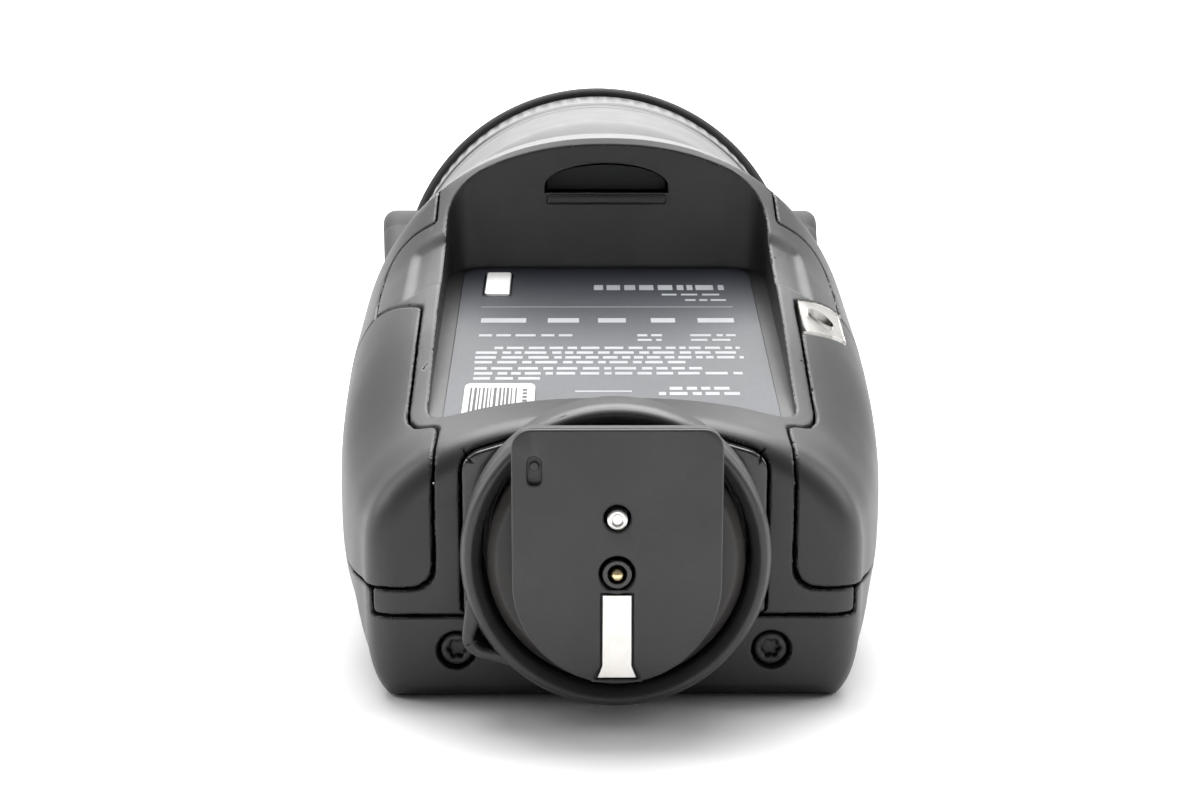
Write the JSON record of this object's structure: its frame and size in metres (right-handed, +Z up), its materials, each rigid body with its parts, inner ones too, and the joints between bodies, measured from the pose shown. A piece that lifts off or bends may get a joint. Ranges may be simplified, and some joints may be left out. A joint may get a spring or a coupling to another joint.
{
  "type": "camera flash",
  "caption": "Round-head hot-shoe flash, battery removed, head turned straight up, lying on its display side; swivelling and tilting zoom head, locking shoe foot.",
  "frame": {"origin": "under the middle of the whole length, on the surface that the flash lies on", "axes": "+Y from the shoe foot to the head, +Z up out of the battery bay, +X to the right seen from the shoe"},
  "size_m": [0.075, 0.1816, 0.0749],
  "materials": {
    "shell_black": "fine-textured black moulding",
    "soft_cover_black": "soft-touch black cover",
    "gloss_black": "gloss black moulding",
    "satin_black": "satin black moulding",
    "disc_black": "warm black satin disc",
    "foot_black": "black coated metal foot",
    "rubber_black": "matt black rubber",
    "nickel": "bright nickel",
    "contact_gold": "gold-plated contact",
    "reflector_mirror": "polished reflector",
    "screw_black": "black screw",
    "label_foil": "glossy dark foil label",
    "sticker_white": "white paper sticker",
    "display_glass": "dark display window",
    "front_lens": "frosted front glass",
    "circuit_board": "circuit board",
    "capacitor_sleeve": "capacitor sleeve",
    "winding_copper": "copper winding",
    "flash_tube_glass": "flash tube glass"
  },
  "bodies": {
    "body": {"rear_housing": "shell_black", "mid_frame": "shell_black", "side_cover_left": "soft_cover_black", "side_cover_right": "soft_cover_black", "neck_shell": "shell_black", "base_panel": "gloss_black", "shoe_base": "disc_black", "foot_plate": "foot_black", "contact_insulator": "gloss_black", "ground_strip": "nickel", "rating_label": "label_foil", "serial_sticker": "sticker_white", "contact_pad": "nickel", "housing_screw_left": "screw_black", "housing_screw_right": "screw_black", "sync_socket": "nickel", "latch_catch": "shell_black", "main_board": "circuit_board", "button_board": "circuit_board", "flash_capacitor": "capacitor_sleeve", "charging_transformer": "winding_copper", "display_window": "display_glass", "display_panel": "gloss_black", "usb_port": "nickel"},
    "turret": {"turret_base": "shell_black", "turret_retainer": "nickel", "yoke_arm_left": "shell_black", "yoke_arm_right": "shell_black", "pivot_pin_left": "nickel", "pivot_pin_right": "nickel", "pivot_cap_left": "satin_black", "pivot_cap_right": "satin_black"},
    "head": {"head_rear_shell": "shell_black", "head_barrel": "shell_black", "front_rim": "rubber_black", "front_lens": "front_lens", "modelling_light_board": "circuit_board"},
    "zoom_ring": {"zoom_ring": "rubber_black"},
    "lamp_carriage": {"lamp_carriage": "circuit_board", "reflector": "reflector_mirror", "flash_tube": "flash_tube_glass"},
    "lock_ring": {"lock_ring": "satin_black"},
    "locking_pin": {"locking_pin": "nickel"},
    "contact_pin": {"contact_pin": "contact_gold"},
    "control_dial": {"control_dial": "gloss_black"},
    "set_button": {"set_button": "rubber_black"},
    "test_button": {"test_button": "rubber_black"},
    "power_button": {"power_button": "rubber_black"},
    "function_button_left": {"function_button_left": "rubber_black"},
    "function_button_right": {"function_button_right": "rubber_black"},
    "mode_switch": {"mode_switch": "gloss_black"},
    "port_cover": {"port_cover": "rubber_black"}
  },
  "joints": [
    {"name": "head_swivel", "type": "hinge", "parent": "body", "child": "turret", "pos_m": [0, -0.00439, 0.0283], "axis": [0, 0.9947, 0.1028], "range_deg": [-180, 180]},
    {"name": "head_tilt", "type": "hinge", "parent": "turret", "child": "head", "pos_m": [0, 0.03689, 0.03256], "axis": [1, 0, 0], "range_deg": [0, 90]},
    {"name": "zoom_turn", "type": "hinge", "parent": "head", "child": "zoom_ring", "pos_m": [0, 0.06355, 0.03532], "axis": [0, 0.9947, 0.1028], "range_deg": [0, 90]},
    {"name": "lamp_zoom", "type": "slide", "parent": "head", "child": "lamp_carriage", "axis": [0, 0.9947, 0.1028], "range_m": [0, 0.014]},
    {"name": "lock_ring_turn", "type": "hinge", "parent": "body", "child": "lock_ring", "pos_m": [0, -0.08561, 0.01553], "axis": [0, 0.9947, 0.1028], "range_deg": [0, 60]},
    {"name": "locking_pin_slide", "type": "slide", "parent": "body", "child": "locking_pin", "axis": [0, 0.9947, 0.1028], "range_m": [0, 0.0015]},
    {"name": "contact_pin_press", "type": "slide", "parent": "body", "child": "contact_pin", "axis": [0, 0.9947, 0.1028], "range_m": [0, 0.0005], "stiffness_N_per_m": 100},
    {"name": "dial_turn", "type": "hinge", "parent": "body", "child": "control_dial", "pos_m": [0, -0.05612, 0], "axis": [0, 0, 1], "continuous": true},
    {"name": "set_button_press", "type": "slide", "parent": "body", "child": "set_button", "axis": [0, 0, 1], "range_m": [0, 0.0006], "stiffness_N_per_m": 150},
    {"name": "test_button_press", "type": "slide", "parent": "body", "child": "test_button", "axis": [0, 0, 1], "range_m": [0, 0.0006], "stiffness_N_per_m": 150},
    {"name": "power_button_press", "type": "slide", "parent": "body", "child": "power_button", "axis": [0, 0, 1], "range_m": [0, 0.0006], "stiffness_N_per_m": 150},
    {"name": "function_button_left_press", "type": "slide", "parent": "body", "child": "function_button_left", "axis": [0, 0, 1], "range_m": [0, 0.0006], "stiffness_N_per_m": 150},
    {"name": "function_button_right_press", "type": "slide", "parent": "body", "child": "function_button_right", "axis": [0, 0, 1], "range_m": [0, 0.0006], "stiffness_N_per_m": 150},
    {"name": "mode_switch_slide", "type": "slide", "parent": "body", "child": "mode_switch", "axis": [1, 0, 0], "range_m": [0, 0.0028]},
    {"name": "port_cover_hinge", "type": "hinge", "parent": "body", "child": "port_cover", "pos_m": [-0.0286, -0.01658, 0.00715], "axis": [0, 0.1028, -0.9947], "range_deg": [0, 100]}
  ],
  "couplings": [
    {"joint": "lamp_zoom", "follows": "zoom_turn", "m_per_rad": 0.008849},
    {"joint": "locking_pin_slide", "follows": "lock_ring_turn", "m_per_rad": 0.0014228}
  ]
}
